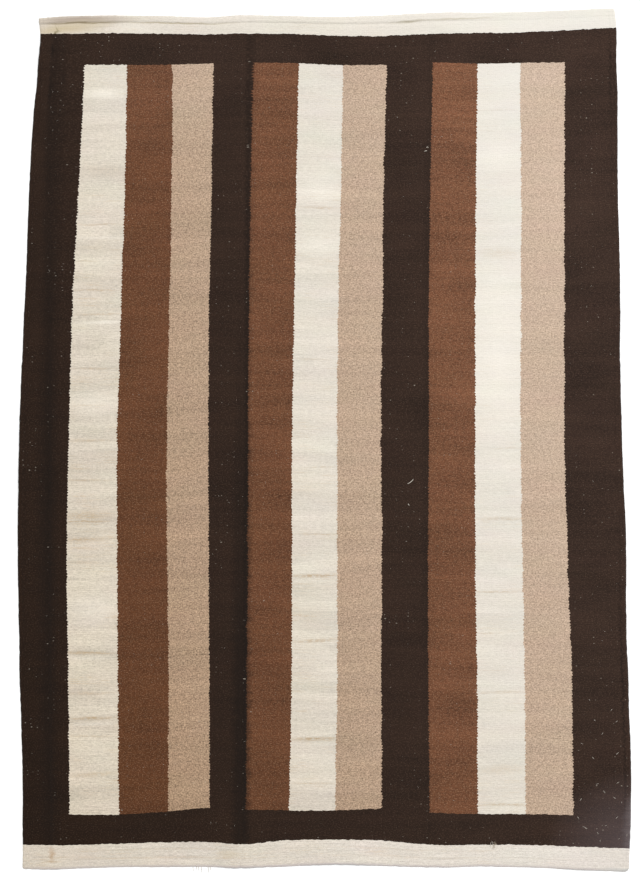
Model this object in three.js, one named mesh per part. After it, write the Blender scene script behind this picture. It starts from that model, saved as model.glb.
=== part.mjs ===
// A flat-woven wool kilim, laid out on the floor with its face up.
// Millimetres: x runs across the rug, y along it from the foot end to the head end, z up from the floor.
// The cloth is one piece: the striped ground, the plain band at each end, the turned hem and the
// corded selvedges are woven or folded from the same warps, so they are one solid.

import * as THREE from "three";

// The ground weave's thickness, and the rug's nominal length.
const CLOTH = 2.6;
const LENGTH = 2140;

// Sections through the edges: what is added to the thickness at distances in from the edge.
// The yarn turns round a thin rim. Two cords of bundled warps follow it at each side.
const SELVEDGE = [
  { inwards: 0, extra: -0.8 },
  { inwards: 4, extra: 1.6 },
  { inwards: 8, extra: 0.6 },
  { inwards: 12, extra: 1.4 },
  { inwards: 16, extra: 0 },
];

// The head end is turned under once and sewn down, which leaves a roll with a groove beside it.
const HEAD_HEM = [
  { inwards: 0, extra: 0.4 },
  { inwards: 2, extra: 1.9 },
  { inwards: 8, extra: 2.4 },
  { inwards: 14, extra: 2.0 },
  { inwards: 17, extra: -0.3 },
  { inwards: 22, extra: 0.1 },
];

// The foot end is cut straight after its last rows of weft.
const FOOT_EDGE = [
  { inwards: 0, extra: -0.9 },
  { inwards: 4, extra: 0 },
];

// The widest gaps between points, and half the width of the trough in a crease.
const GAP = { across: 65, along: 60 };
const TROUGH = 12;

// The place on the rug that lies at the origin.
const MIDDLE = { across: 0, along: 1079 };

// The sides and the creases, at heights up the rug.
const SIDES = [
  { along: 0, left: -754, leftCrease: -688, fieldCrease: -207, right: 766 },
  { along: 250, left: -754, leftCrease: -689, fieldCrease: -206, right: 766 },
  { along: 450, left: -760, leftCrease: -691, fieldCrease: -204, right: 760 },
  { along: 650, left: -764, leftCrease: -691, fieldCrease: -203, right: 755 },
  { along: 850, left: -766, leftCrease: -691, fieldCrease: -202, right: 753 },
  { along: 1050, left: -763, leftCrease: -691, fieldCrease: -198, right: 744 },
  { along: 1250, left: -758, leftCrease: -691, fieldCrease: -197, right: 739 },
  { along: 1500, left: -746, leftCrease: -691, fieldCrease: -197, right: 739 },
  { along: 1700, left: -739, leftCrease: -690, fieldCrease: -196, right: 733 },
  { along: 1900, left: -726, leftCrease: -685, fieldCrease: -195, right: 733 },
  { along: 2020, left: -716, leftCrease: -678, fieldCrease: -194, right: 731 },
  { along: 2090, left: -709, leftCrease: -672, fieldCrease: -194, right: 730 },
  { along: 2140, left: -714, leftCrease: -668, fieldCrease: -194, right: 724 },
];

// The two ends, at places across the rug.
const ENDS = [
  { across: -754, foot: 8, head: 2133 },
  { across: -660, foot: 8, head: 2137 },
  { across: -535, foot: 12, head: 2140 },
  { across: -410, foot: 13, head: 2139 },
  { across: -297, foot: 13, head: 2136 },
  { across: -202, foot: 12, head: 2140 },
  { across: -97, foot: 14, head: 2139 },
  { across: 28, foot: 20, head: 2137 },
  { across: 140, foot: 16, head: 2140 },
  { across: 265, foot: 12, head: 2146 },
  { across: 390, foot: 14, head: 2147 },
  { across: 490, foot: 12, head: 2149 },
  { across: 590, foot: 9, head: 2152 },
  { across: 690, foot: 4, head: 2157 },
  { across: 766, foot: 0, head: 2159 },
];

// How far the cloth stands up beside each crease, at the foot, the middle and the head, how far out that
// reaches, and the share of it that the trough sinks back.
const CREASES = [
  { line: "leftCrease", foot: 3.2, middle: 3.0, head: 0.8, reach: 70, sink: 0.9 },
  { line: "fieldCrease", foot: 5.0, middle: 3.8, head: 2.5, reach: 85, sink: 0.9 },
];

// Low swellings where the cloth doesn't lie quite flat.
const SWELLINGS = [
  { name: "foot buckle", across: 40, along: 0, reachAcross: 150, reachAlong: 130, rise: 4.5 },
  { name: "foot corner", across: 640, along: 15, reachAcross: 100, reachAlong: 120, rise: 3.5 },
  { name: "head buckle", across: 300, along: 2150, reachAcross: 190, reachAlong: 130, rise: 4.0 },
  { name: "head corner", across: -690, along: 2030, reachAcross: 60, reachAlong: 80, rise: 4.0 },
  { name: "left selvedge", across: -752, along: 1010, reachAcross: 75, reachAlong: 300, rise: 3.0 },
  { name: "right selvedge", across: 742, along: 1180, reachAcross: 90, reachAlong: 330, rise: 3.0 },
  { name: "field ridge", across: 196, along: 1120, reachAcross: 85, reachAlong: 620, rise: 2.8 },
];

// The cloth's weight presses this much out of every rise, so it lies flat on the floor around them.
const PRESSED = 0.4;

/** 1 at a hump's middle, falling smoothly to 0 at its reach and beyond. */
function arch(distance, reach) {
  return 0.5 + 0.5 * Math.cos(Math.PI * Math.min(Math.abs(distance) / reach, 1));
}

/** A smooth curve through every column of a table: a function from the first column to all the others. */
function curveThrough(table) {
  const [first, ...others] = Object.keys(table[0]);
  const places = table.map((row) => row[first]);
  const values = table.flatMap((row) => others.map((name) => row[name]));
  const curve = new THREE.CubicInterpolant(places, values, others.length);
  return (place) => {
    const found = curve.evaluate(THREE.MathUtils.clamp(place, places[0], places.at(-1)));
    return Object.fromEntries(others.map((name, i) => [name, found[i]]));
  };
}

const sidesAt = curveThrough(SIDES);
const endsAt = curveThrough(ENDS);

/** Adds marks evenly wherever two are further apart than the gap. A mark's place may depend on the sides. */
function filled(marks, gap) {
  const atFoot = SIDES[0];
  return marks.flatMap((mark, i) => {
    const next = marks[i + 1];
    if (!next) return [mark];
    const steps = Math.ceil((next.place(atFoot) - mark.place(atFoot)) / gap);
    const between = Array.from({ length: steps - 1 }, (_, k) => ({
      extra: 0,
      place: (side) => THREE.MathUtils.lerp(mark.place(side), next.place(side), (k + 1) / steps),
    }));
    return [mark, ...between];
  });
}

/** The columns of points: on the cords of both selvedges, across each crease, and evenly between. */
function columnsAcross() {
  const left = SELVEDGE.map(({ inwards, extra }) => ({ extra, place: (side) => side.left + inwards }));
  const creases = CREASES.flatMap(({ line }) =>
    [-TROUGH, 0, TROUGH].map((offset) => ({ extra: 0, place: (side) => side[line] + offset })),
  );
  const right = SELVEDGE.map(({ inwards, extra }) => ({ extra, place: (side) => side.right - inwards }));
  return filled([...left, ...creases, ...right.reverse()], GAP.across);
}

/** The rows of points: at the foot edge, evenly up the rug, and over the hem at the head. */
function rowsAlong() {
  const foot = FOOT_EDGE.map(({ inwards, extra }) => ({ extra, place: () => inwards }));
  const head = HEAD_HEM.map(({ inwards, extra }) => ({ extra, place: () => LENGTH - inwards }));
  return filled([...foot, ...head.reverse()], GAP.along);
}

/** How far the cloth's underside stands off the floor. */
function lift(x, y) {
  const side = sidesAt(y);
  const up = y / LENGTH;
  let height = 0;
  for (const { line, foot, middle, head, reach, sink } of CREASES) {
    const from = x - side[line];
    const rise =
      up < 0.5
        ? THREE.MathUtils.lerp(foot, middle, up * 2)
        : THREE.MathUtils.lerp(middle, head, up * 2 - 1);
    height += rise * arch(from, reach) * (1 - sink * arch(from, TROUGH));
  }
  for (const { across, along, reachAcross, reachAlong, rise } of SWELLINGS) {
    height += rise * arch(x - across, reachAcross) * arch(y - along, reachAlong);
  }
  return Math.max(0, height - PRESSED);
}

/** The closed sheet: a grid of points for its face, another for its underside, and a rim between them. */
function clothGeometry() {
  const columns = columnsAcross();
  const rows = rowsAlong();
  const face = [];
  const underside = [];
  for (const row of rows) {
    const up = row.place();
    const side = sidesAt(up);
    for (const column of columns) {
      const x = column.place(side);
      const { foot, head } = endsAt(x);
      const y = THREE.MathUtils.mapLinear(up, 0, LENGTH, foot, head);
      const below = lift(x, y);
      face.push(x, y, below + CLOTH + column.extra + row.extra);
      underside.push(x, y, below);
    }
  }

  const [width, height] = [columns.length, rows.length];
  const points = width * height;
  const triangles = [];
  for (let row = 0; row + 1 < height; row += 1) {
    for (let column = 0; column + 1 < width; column += 1) {
      const a = row * width + column;
      const [b, c, d] = [a + 1, a + width + 1, a + width];
      triangles.push(a, b, c, a, c, d);
      triangles.push(points + a, points + c, points + b, points + a, points + d, points + c);
    }
  }
  const rim = [
    ...Array.from({ length: width - 1 }, (_, i) => i),
    ...Array.from({ length: height - 1 }, (_, i) => (i + 1) * width - 1),
    ...Array.from({ length: width - 1 }, (_, i) => points - 1 - i),
    ...Array.from({ length: height - 1 }, (_, i) => (height - 1 - i) * width),
  ];
  rim.forEach((a, i) => {
    const b = rim[(i + 1) % rim.length];
    triangles.push(points + a, points + b, b, points + a, b, a);
  });

  const geometry = new THREE.BufferGeometry();
  geometry.setAttribute("position", new THREE.Float32BufferAttribute([...face, ...underside], 3));
  geometry.setIndex(triangles);
  geometry.computeVertexNormals();
  return geometry;
}

const darkWool = new THREE.MeshStandardMaterial({ color: 0x3d2f27, roughness: 0.95, metalness: 0 });
const cloth = new THREE.Mesh(clothGeometry(), darkWool);
cloth.name = "kilim";
cloth.position.set(-MIDDLE.across, -MIDDLE.along, 0);

const group = new THREE.Group();
group.add(cloth);

export default group;
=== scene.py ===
# %% [markdown]
# # A flat-woven wool kilim, laid out on a pale floor
#
# A kilim has no pile. Thick handspun weft is beaten down over stretched warps until the warps don't show,
# so its face is all weft: fine cross lines, soft ribs, and a colour that changes wherever one yarn turns
# back and the next takes over.
#
# This script dresses a plain model of the rug. The cells go from the large to the small: the outline, the
# folds, one fine sheet, the wool, the loose fibres, then the floor, the light and the camera.

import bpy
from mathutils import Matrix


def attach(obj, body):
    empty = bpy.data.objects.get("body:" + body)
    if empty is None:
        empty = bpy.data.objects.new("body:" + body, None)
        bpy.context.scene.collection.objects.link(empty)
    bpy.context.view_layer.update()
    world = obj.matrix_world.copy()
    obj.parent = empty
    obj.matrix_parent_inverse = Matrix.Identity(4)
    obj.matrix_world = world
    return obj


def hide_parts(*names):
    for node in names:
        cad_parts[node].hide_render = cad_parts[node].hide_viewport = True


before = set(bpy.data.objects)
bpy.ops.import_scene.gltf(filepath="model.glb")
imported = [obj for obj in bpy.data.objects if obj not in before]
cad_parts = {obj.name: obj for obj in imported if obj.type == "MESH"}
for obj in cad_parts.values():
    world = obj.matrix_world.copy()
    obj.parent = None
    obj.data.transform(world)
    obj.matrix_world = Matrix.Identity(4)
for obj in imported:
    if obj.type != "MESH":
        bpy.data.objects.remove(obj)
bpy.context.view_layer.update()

# %% [markdown]
# ## The outline
#
# Hand weaving is never square. This rug is 1.52 m wide near the foot and 1.44 m at the head, its left side
# bows out, and its ends sag between their corners. Such an outline could be drawn as a curve, but a table
# of the places where it was measured says more: each row of numbers is one line, at marked places.
#
# All tables are in millimetres. "along" runs up the rug from its foot, "across" is to the right of its
# middle line. The sheet is turned to metres, with its origin at the box's middle, when its points are made.

# %% The tables of the outline
import numpy as np

MM = 0.001
LENGTH = 2140
MIDDLE_ALONG = 1079

SIDES = {
    "along": [0, 250, 450, 650, 850, 1050, 1250, 1500, 1700, 1900, 1960, 2020, 2090, 2140],
    "left": [-754, -754, -760, -764, -766, -763, -757, -745, -738, -726, -719, -716, -709, -713],
    "left crease": [-688, -689, -691, -691, -691, -691, -691, -691, -690, -685, -682, -678, -672, -668],
    "field crease": [-207, -206, -204, -203, -202, -198, -197, -197, -196, -195, -195, -194, -194, -194],
    "right": [761, 766, 760, 754, 753, 744, 739, 738, 733, 732, 731, 730, 729, 724],
}

# Each of these is one weft's height at places across the rug, from the foot edge to the head edge.
COURSES = {
    "across": [-754, -660, -535, -410, -297, -202, -97, 28, 140, 265, 390, 490, 590, 690, 766],
    "foot": [8, 8, 12, 13, 13, 12, 14, 20, 16, 12, 14, 12, 9, 4, 0],
    "foot band": [68, 67, 70, 74, 75, 70, 79, 81, 79, 68, 68, 68, 65, 61, 59],
    "stripes start": [144, 144, 143, 150, 160, 157, 154, 154, 158, 149, 145, 145, 143, 141, 140],
    "stripes end": [2018, 2017, 2017, 2017, 2020, 2022, 2022, 2017, 2017, 2023, 2020, 2022, 2023, 2025, 2026],
    "head band": [2094, 2095, 2096, 2095, 2093, 2095, 2095, 2090, 2089, 2094, 2097, 2098, 2103, 2108, 2113],
    "head": [2129, 2137, 2140, 2139, 2136, 2140, 2139, 2137, 2140, 2146, 2147, 2149, 2152, 2157, 2159],
}


def curve_through(table):
    """Turns a table into curves: for each column a function of the first column, smooth through its rows."""
    (_, places), *columns = table.items()
    places = np.array(places, float)
    curves = {}
    for name, values in columns:
        values = np.array(values, float)
        rise = np.diff(values) / np.diff(places)
        slopes = (np.append(rise[0], rise) + np.append(rise, rise[-1])) / 2

        def at(where, values=values, slopes=slopes):
            where = np.clip(where, places[0], places[-1])
            i = np.clip(np.searchsorted(places, where, side="right") - 1, 0, len(places) - 2)
            step = places[i + 1] - places[i]
            t = (where - places[i]) / step
            start = values[i] * (1 + 2 * t) + slopes[i] * step * t
            end = values[i + 1] * (3 - 2 * t) + slopes[i + 1] * step * (t - 1)
            return start * (1 - t) ** 2 + end * t**2

        curves[name] = at
    return curves


side_at = curve_through(SIDES)
course_at = curve_through(COURSES)
widths = [round(float(side_at["right"](y) - side_at["left"](y))) for y in (0, LENGTH)]
print("width at foot and head:", widths)

# %% [markdown]
# ## The joins between the stripes
#
# The nine stripes are woven side by side. Each yarn turns back round the same warp, course after course, so
# a join follows one warp all the way up, and its gentle waves are the warp's own. That gives the rug a
# second, better set of coordinates: which warp a point is on, and which weft. In those the pattern is
# nothing but straight lines, however the cloth is pulled. The sheet's points are spread evenly in them, and
# the colours are drawn in them too.
#
# A warp is named by where it lies half way up the rug, and a weft by its usual height.

# %% The tables of the joins, and the place of any warp and weft
JOINS = {
    "along": [166, 479, 779, 1079, 1429, 1729, 2014],
    "cream 1": [-637, -640, -644, -639, -629, -613, -599],
    "brown 1": [-514, -516, -518, -518, -508, -498, -493],
    "beige 1": [-390, -389, -393, -394, -387, -381, -380],
    "after 1": [-287, -288, -289, -290, -288, -282, -277],
    "brown 2": [-195, -194, -191, -191, -188, -184, -177],
    "cream 2": [-88, -82, -81, -81, -75, -70, -64],
    "beige 2": [27, 32, 32, 32, 35, 42, 46],
    "after 2": [143, 142, 144, 141, 145, 148, 156],
    "brown 3": [263, 260, 259, 261, 261, 265, 271],
    "cream 3": [383, 382, 377, 377, 377, 379, 383],
    "beige 3": [502, 501, 495, 490, 491, 491, 489],
    "after 3": [622, 618, 608, 600, 600, 600, 601],
}
SELVEDGE_WIDTH = 16
join_at = curve_through(JOINS)

warp_lines = {
    "left": side_at["left"],
    "left selvedge": lambda y: side_at["left"](y) + SELVEDGE_WIDTH,
    "left crease": side_at["left crease"],
    **join_at,
    "field crease": side_at["field crease"],
    "right selvedge": lambda y: side_at["right"](y) - SELVEDGE_WIDTH,
    "right": side_at["right"],
}
warp = {name: float(line(MIDDLE_ALONG)) for name, line in warp_lines.items()}
warp = dict(sorted(warp.items(), key=lambda entry: entry[1]))
weft = {
    "foot": 0, "foot band": 70, "stripes start": 149, "stripes end": 2020, "head band": 2096, "head": LENGTH
}


def place(warps, wefts):
    """The places across and along, in millimetres, of a grid of warps and wefts, a row for each weft."""
    across = np.array([
        np.interp(warps, list(warp.values()), [warp_lines[name](v) for name in warp]) for v in wefts
    ])
    heights = np.stack([course_at[name](across) for name in weft], axis=-1)
    usual = np.array(list(weft.values()), float)
    i = np.clip(np.searchsorted(usual, wefts, side="right") - 1, 0, len(usual) - 2)
    t = ((np.array(wefts) - usual[i]) / (usual[i + 1] - usual[i]))[:, None]
    rows = np.arange(len(wefts))
    return across, heights[rows, :, i] * (1 - t) + heights[rows, :, i + 1] * t


print("warps:", {name: round(u) for name, u in warp.items()})

# %% [markdown]
# ## The folds
#
# The rug has been stored folded, so two old creases run up it: a sharp one just left of the second group of
# stripes, and a soft one inside the left border. Each is a narrow trough between two low rises. Elsewhere
# the cloth stands a few millimetres off the floor where it was pulled in the weaving: at both ends, along
# both sides, and in one long ridge. Cloth simulation could find such shapes, but not these ones, and the
# places show in the photograph. So each rise is placed one by one, as a cosine hump.
#
# The same humps shape the imported model. New are the small wrinkles of the last table, which it is too coarse
# for, and the calm of the bands.

# %% The humps and troughs
CREASES = [
    {"line": "left crease", "foot": 3.2, "middle": 3.0, "head": 0.8, "reach": 70, "sink": 0.9},
    {"line": "field crease", "foot": 5.0, "middle": 3.8, "head": 2.5, "reach": 85, "sink": 0.9},
]
TROUGH = 12
PRESSED = 0.4
# The bands are woven so tight that less of the creases and cords shows in them.
CALM = {"along": [0, 50, 90, 2070, 2100, 2140], "share": [0.3, 0.3, 1.0, 1.0, 0.5, 0.5]}

# name: across, along, reach across, reach along, rise
SWELLINGS = {
    "foot buckle": (40, 0, 150, 130, 4.5),
    "foot corner": (640, 15, 100, 120, 3.5),
    "head buckle": (300, 2150, 190, 130, 4.0),
    "head corner": (-690, 2030, 60, 80, 4.0),
    "left selvedge": (-752, 1010, 75, 300, 3.0),
    "right selvedge": (742, 1180, 90, 330, 3.0),
    "field ridge": (196, 1120, 85, 620, 2.8),
}

# name: across, along, reach across, reach along, turn in degrees, rise
WRINKLES = {
    "crumple below the head corner": (-690, 2054, 9, 28, 38, -2.4),
    "ridge beside the crumple": (-705, 2022, 11, 34, 12, 2.2),
    "dip inside the head corner": (-674, 1992, 9, 26, 0, -1.2),
    "slope down the left selvedge": (-700, 1962, 14, 60, -8, -1.4),
    "trough in the second cream stripe": (-17, 1010, 14, 300, 0, -0.9),
    "dip left of the third brown stripe": (256, 1350, 8, 620, 0, -0.9),
    "dip left of the second brown stripe": (-212, 480, 7, 420, 0, -0.8),
}
print("humps:", len(CREASES), "creases,", len(SWELLINGS), "swellings,", len(WRINKLES), "wrinkles")


def arch(distance, reach):
    """1 at a hump's middle, falling smoothly to 0 at its reach and beyond."""
    return 0.5 + 0.5 * np.cos(np.pi * np.minimum(np.abs(distance) / reach, 1))


def lift(x, y):
    """How far the underside stands off the floor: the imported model's humps, with the calm of the bands."""
    up = y / LENGTH
    shown = np.interp(y, CALM["along"], CALM["share"])
    height = np.zeros_like(x)
    for crease in CREASES:
        away = x - side_at[crease["line"]](y)
        rise = np.interp(up, [0, 0.5, 1], [crease["foot"], crease["middle"], crease["head"]])
        height += rise * arch(away, crease["reach"]) * (1 - shown * crease["sink"] * arch(away, TROUGH))
    for across, along, reach_across, reach_along, rise in SWELLINGS.values():
        height += rise * arch(x - across, reach_across) * arch(y - along, reach_along)
    return np.maximum(0, height - PRESSED)


def wrinkled(x, y):
    """What the small wrinkles add to the cloth's height."""
    height = np.zeros_like(x)
    for across, along, reach_across, reach_along, turn, rise in WRINKLES.values():
        c, s = np.cos(np.radians(turn)), np.sin(np.radians(turn))
        over, up = (x - across) * c + (y - along) * s, (y - along) * c - (x - across) * s
        height += rise * arch(over, reach_across) * arch(up, reach_along)
    return height


# %% [markdown]
# ## The grid of points
#
# One row of points for each chosen weft, one column for each chosen warp. They stand close together where
# the shape is fine, at the corded selvedges, the creases and the turned hem, and further apart elsewhere.
# The weave itself is finer than any grid, so it is left to the material.

# %% Choose the warps and wefts that carry points
GAP = 7.0
FINE = 2.0


def filled(marks, gap):
    """Sorted marks, with more set evenly between any two that are further apart than the gap."""
    marks = np.array(sorted(marks), float)
    marks = marks[np.append(True, np.diff(marks) > FINE / 4)]
    steps = np.maximum(np.ceil(np.diff(marks) / gap - 1e-9).astype(int), 1)
    between = [np.linspace(a, b, n, endpoint=False) for a, b, n in zip(marks, marks[1:], steps)]
    return np.append(np.concatenate(between), marks[-1])


HEM_WIDTH = 26
FOOT_WIDTH = 6
in_selvedge = np.arange(0, SELVEDGE_WIDTH + 2 * FINE, FINE)
in_crease = np.arange(-TROUGH, TROUGH + FINE, FINE)
warps = filled(
    [
        *warp.values(),
        *(warp["left"] + in_selvedge),
        *(warp["right"] - in_selvedge),
        *(warp["left crease"] + in_crease),
        *(warp["field crease"] + in_crease),
    ],
    GAP,
)
near_foot = np.arange(0, FOOT_WIDTH, FINE)
near_head = LENGTH - np.arange(0, HEM_WIDTH, FINE)
wefts = filled([*weft.values(), *near_foot, *near_head], GAP)
last_row, last_column = len(wefts) - 1, len(warps) - 1
print("grid:", len(warps), "warps by", len(wefts), "wefts,", 2 * last_row * last_column, "triangles")

# %% [markdown]
# ## The thickness
#
# The ground is 2.6 mm thick. Each side is stiffened by two cords of bundled warps with the weft turned round
# them, the head is turned under once and sewn down, which leaves a roll with a groove beside it, and the
# foot is cut straight. The profiles say what each adds, at distances in from its edge.

# %% Profiles of the edges
CLOTH = 2.6
SELVEDGE = {"inwards": [0, 4, 8, 12, 16], "extra": [-0.8, 1.6, 0.4, 1.4, 0]}
HEAD_HEM = {"inwards": [0, 2, 8, 14, 17, 22], "extra": [0.4, 1.9, 2.4, 2.0, -0.6, 0.1]}
FOOT_EDGE = {"inwards": [0, 4], "extra": [-0.9, 0]}
# The roll is crisp at the left and has been pressed flat towards the right.
HEM_SHARE = {"across": [-720, -300, 300, 450, 766], "share": [1.0, 0.8, 0.75, 0.35, 0.25]}

selvedge_at = curve_through(SELVEDGE)["extra"]
hem_at = curve_through(HEAD_HEM)["extra"]
foot_edge_at = curve_through(FOOT_EDGE)["extra"]
hem_share_at = curve_through(HEM_SHARE)["share"]
print("thickness of the ground:", CLOTH, "mm, of the hem's roll:", CLOTH + max(HEAD_HEM["extra"]), "mm")


def thickness(x, wefts):
    """The cloth's thickness at places x across, a row for each weft."""
    height = np.array(wefts)[:, None]
    left, right = side_at["left"](height), side_at["right"](height)
    shown = np.interp(height, CALM["along"], CALM["share"])
    cords = (selvedge_at(x - left) + selvedge_at(right - x)) * shown
    return CLOTH + cords + foot_edge_at(height) + hem_at(LENGTH - height) * hem_share_at(x)


# %% [markdown]
# ## The sheet
#
# Now the points. Handspun yarn is uneven, so the face swells and sinks a little, and the edges waver where
# each weft turns. Both come from Blender's own noise, which gives the same hills at the same place each run.

# %% Points of the face, the rim and the underside
from mathutils import Vector, noise

# (wavelength, height) of the unevenness, in millimetres
COCKLES = [(150, 0.35), (48, 0.22), (17, 0.10)]
WAVER = [(90, 1.4), (13, 1.0)]
RIM_OUT = 0.7
# Where a wrinkle would sink into the floor, the cloth is only this share of it thinner.
DENTED = 0.4


def uneven(points, layers, seed):
    """The sum of a few sizes of smooth noise at points, in millimetres."""
    total = np.zeros(len(points))
    for size, height in layers:
        total += [height * noise.noise(Vector((x / size, y / size, seed + size))) for x, y in points]
    return total


x, y = place(warps, wefts)
shape = x.shape
rise = lift(x, y) + wrinkled(x, y)
under = np.maximum(0, rise)
face = under + thickness(x, wefts) + DENTED * np.minimum(0, rise)
face += uneven(np.stack([x.ravel(), y.ravel()], 1), COCKLES, seed=0).reshape(shape)

# Which way is out, at the points of each edge.
out_across, out_along = np.zeros(shape), np.zeros(shape)
out_across[:, 0], out_across[:, -1] = -1, 1
out_along[0], out_along[-1] = -1, 1
waver_along = uneven([(0, v) for v in wefts], WAVER, seed=5)[:, None]
waver_across = uneven([(u, 0) for u in warps], WAVER, seed=9)[None]
FADE = 12
near_side = arch(np.minimum(x - x[:, :1], x[:, -1:] - x), FADE)
near_end = arch(np.minimum(y - y[:1], y[-1:] - y), FADE)
x = x + waver_along * near_side * np.sign(x)
y = y + waver_across * near_end * np.sign(y - MIDDLE_ALONG)


def rounded(x, y, corner_x, corner_y, radius):
    """Pulls the points near one corner in, so that it is round."""
    inwards_x, inwards_y = np.sign(x.mean() - corner_x), np.sign(y.mean() - corner_y)
    a, b = (x - corner_x) * inwards_x, (y - corner_y) * inwards_y
    near = (a < radius) & (b < radius)
    a, b = np.maximum(a, 0), np.maximum(b, 0)
    reach = np.hypot(radius - a, radius - b)
    square = np.maximum(radius - a, radius - b)
    shrink = np.where(near & (reach > 0), square / np.maximum(reach, 1e-9), 1)
    new_a, new_b = radius - (radius - a) * shrink, radius - (radius - b) * shrink
    x = np.where(near, corner_x + inwards_x * new_a, x)
    y = np.where(near, corner_y + inwards_y * new_b, y)
    return x, y


# across, along, radius
CORNERS = [(x[0, -1], y[0, -1], 12), (x[0, 0], y[0, 0], 5), (x[-1, -1], y[-1, -1], 5)]
for corner_x, corner_y, radius in CORNERS:
    x, y = rounded(x, y, corner_x, corner_y, radius)


def metres(x, y, z):
    """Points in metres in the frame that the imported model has."""
    return np.stack([x.ravel(), y.ravel() - MIDDLE_ALONG, z.ravel()], 1) * MM


ring = (
    [(0, c) for c in range(last_column)]
    + [(r, last_column) for r in range(last_row)]
    + [(last_row, c) for c in range(last_column, 0, -1)]
    + [(r, 0) for r in range(last_row, 0, -1)]
)
ring_row, ring_column = np.array(ring).T
rim_middle = metres(
    (x + RIM_OUT * out_across)[ring_row, ring_column],
    (y + RIM_OUT * out_along)[ring_row, ring_column],
    ((face + under) / 2)[ring_row, ring_column],
)
rim_foot = metres(*(values[ring_row, ring_column] for values in (x, y, under)))
print("face points:", face.size, "highest", round(float(face.max()), 1), "mm")

# %% [markdown]
# The underside is seen only when the rug is turned over, so it has one point for every four of the face's in
# each direction. Its border cells take in all the rim's points, as faces with many corners, so the sheet is
# closed and no point is left hanging in the middle of an edge.

# %% Faces
COARSE = 4
kept_rows = [*range(0, last_row, COARSE), last_row]
kept_columns = [*range(0, last_column, COARSE), last_column]
inner = [(r, c) for r in kept_rows[1:-1] for c in kept_columns[1:-1]]
inner_row, inner_column = np.array(inner).T
underside = metres(*(values[inner_row, inner_column] for values in (x, y, under)))
points = np.concatenate([metres(x, y, face), rim_middle, rim_foot, underside])

above = {at: at[0] * shape[1] + at[1] for at in ring}
first_middle = face.size
first_foot = first_middle + len(ring)
below = {at: first_foot + i for i, at in enumerate([*ring, *inner])}

corner = np.arange(face.size).reshape(shape)
face_quads = np.stack([corner[:-1, :-1], corner[:-1, 1:], corner[1:, 1:], corner[1:, :-1]], -1).reshape(-1, 4)
rim_quads = []
for i, start in enumerate(ring):
    after = (i + 1) % len(ring)
    top_a, top_b = above[start], above[ring[after]]
    rim_quads.append((first_middle + i, first_middle + after, top_b, top_a))
    rim_quads.append((first_foot + i, first_foot + after, first_middle + after, first_middle + i))
under_cells = []
for r0, r1 in zip(kept_rows, kept_rows[1:]):
    for c0, c1 in zip(kept_columns, kept_columns[1:]):
        cell = [(r0, c) for c in (range(c0, c1) if r0 == 0 else [c0])]
        cell += [(r, c1) for r in (range(r0, r1) if c1 == last_column else [r0])]
        cell += [(r1, c) for c in (range(c1, c0, -1) if r1 == last_row else [c1])]
        cell += [(r, c0) for r in (range(r1, r0, -1) if c0 == 0 else [r1])]
        under_cells.append([below[at] for at in reversed(cell)])
print("faces:", len(face_quads), "above,", len(rim_quads), "round the rim,", len(under_cells), "below")

# %% Build the mesh
import bpy


def put(name, data):
    """Makes an object of its data and puts it in the scene."""
    made = bpy.data.objects.new(name, data)
    bpy.context.scene.collection.objects.link(made)
    return made


mesh = bpy.data.meshes.new("kilim_cloth")
mesh.from_pydata(points.tolist(), [], face_quads.tolist() + rim_quads + under_cells)
mesh.polygons.foreach_set("use_smooth", [True] * len(mesh.polygons))
cloth = put("kilim_cloth", mesh)
triangles = sum(len(p.vertices) - 2 for p in mesh.polygons)
print("cloth:", triangles, "triangles; problems found and mended:", mesh.validate(verbose=False))

# %% [markdown]
# ## Two maps on the cloth
#
# The first, "weave", stores each point's warp and weft, in metres. The material draws in it, so its lines
# bend with the cloth. The second, "OFBake", lays the whole sheet out on one picture. It
# gives the face most of the picture, the rim a narrow border round it, and the underside a strip.

# %% Make the maps
ring_warp, ring_weft = warps[ring_column], wefts[ring_row]
inner_warp, inner_weft = warps[inner_column], wefts[inner_row]
all_warps, all_wefts = np.meshgrid(warps, wefts)
weave = np.stack([
    np.concatenate([all_warps.ravel(), ring_warp, ring_warp, inner_warp]),
    np.concatenate([all_wefts.ravel(), ring_weft, ring_weft, inner_weft]),
], 1) * MM

across_share = (weave[:, 0] - warps[0] * MM) / ((warps[-1] - warps[0]) * MM)
along_share = weave[:, 1] / (LENGTH * MM)
FACE_ON_MAP = (0.01, 0.20, 0.98, 0.79)
UNDER_ON_MAP = (0.01, 0.01, 0.98, 0.16)
RIM_ON_MAP = 0.004
loop_point = np.empty(len(mesh.loops), int)
mesh.loops.foreach_get("vertex_index", loop_point)
on_face = np.arange(len(loop_point)) < 4 * (len(face_quads) + len(rim_quads))
left_edge, low_edge, width, height = np.where(on_face[:, None], FACE_ON_MAP, UNDER_ON_MAP).T
spread = np.zeros((len(points), 2))
spread[first_middle:first_foot] = np.stack([out_across, out_along], -1)[ring_row, ring_column] * RIM_ON_MAP
spread[first_foot : first_foot + len(ring)] = 2 * spread[first_middle:first_foot]
bake = np.stack([
    left_edge + width * across_share[loop_point] + np.where(on_face, spread[loop_point, 0], 0),
    low_edge + height * along_share[loop_point] + np.where(on_face, spread[loop_point, 1], 0),
], 1)
for name, places in (("weave", weave[loop_point]), ("OFBake", bake)):
    mesh.uv_layers.new(name=name).data.foreach_set("uv", places.ravel())
mesh.uv_layers["weave"].active_render = True
print("maps:", [layer.name for layer in mesh.uv_layers])

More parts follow.
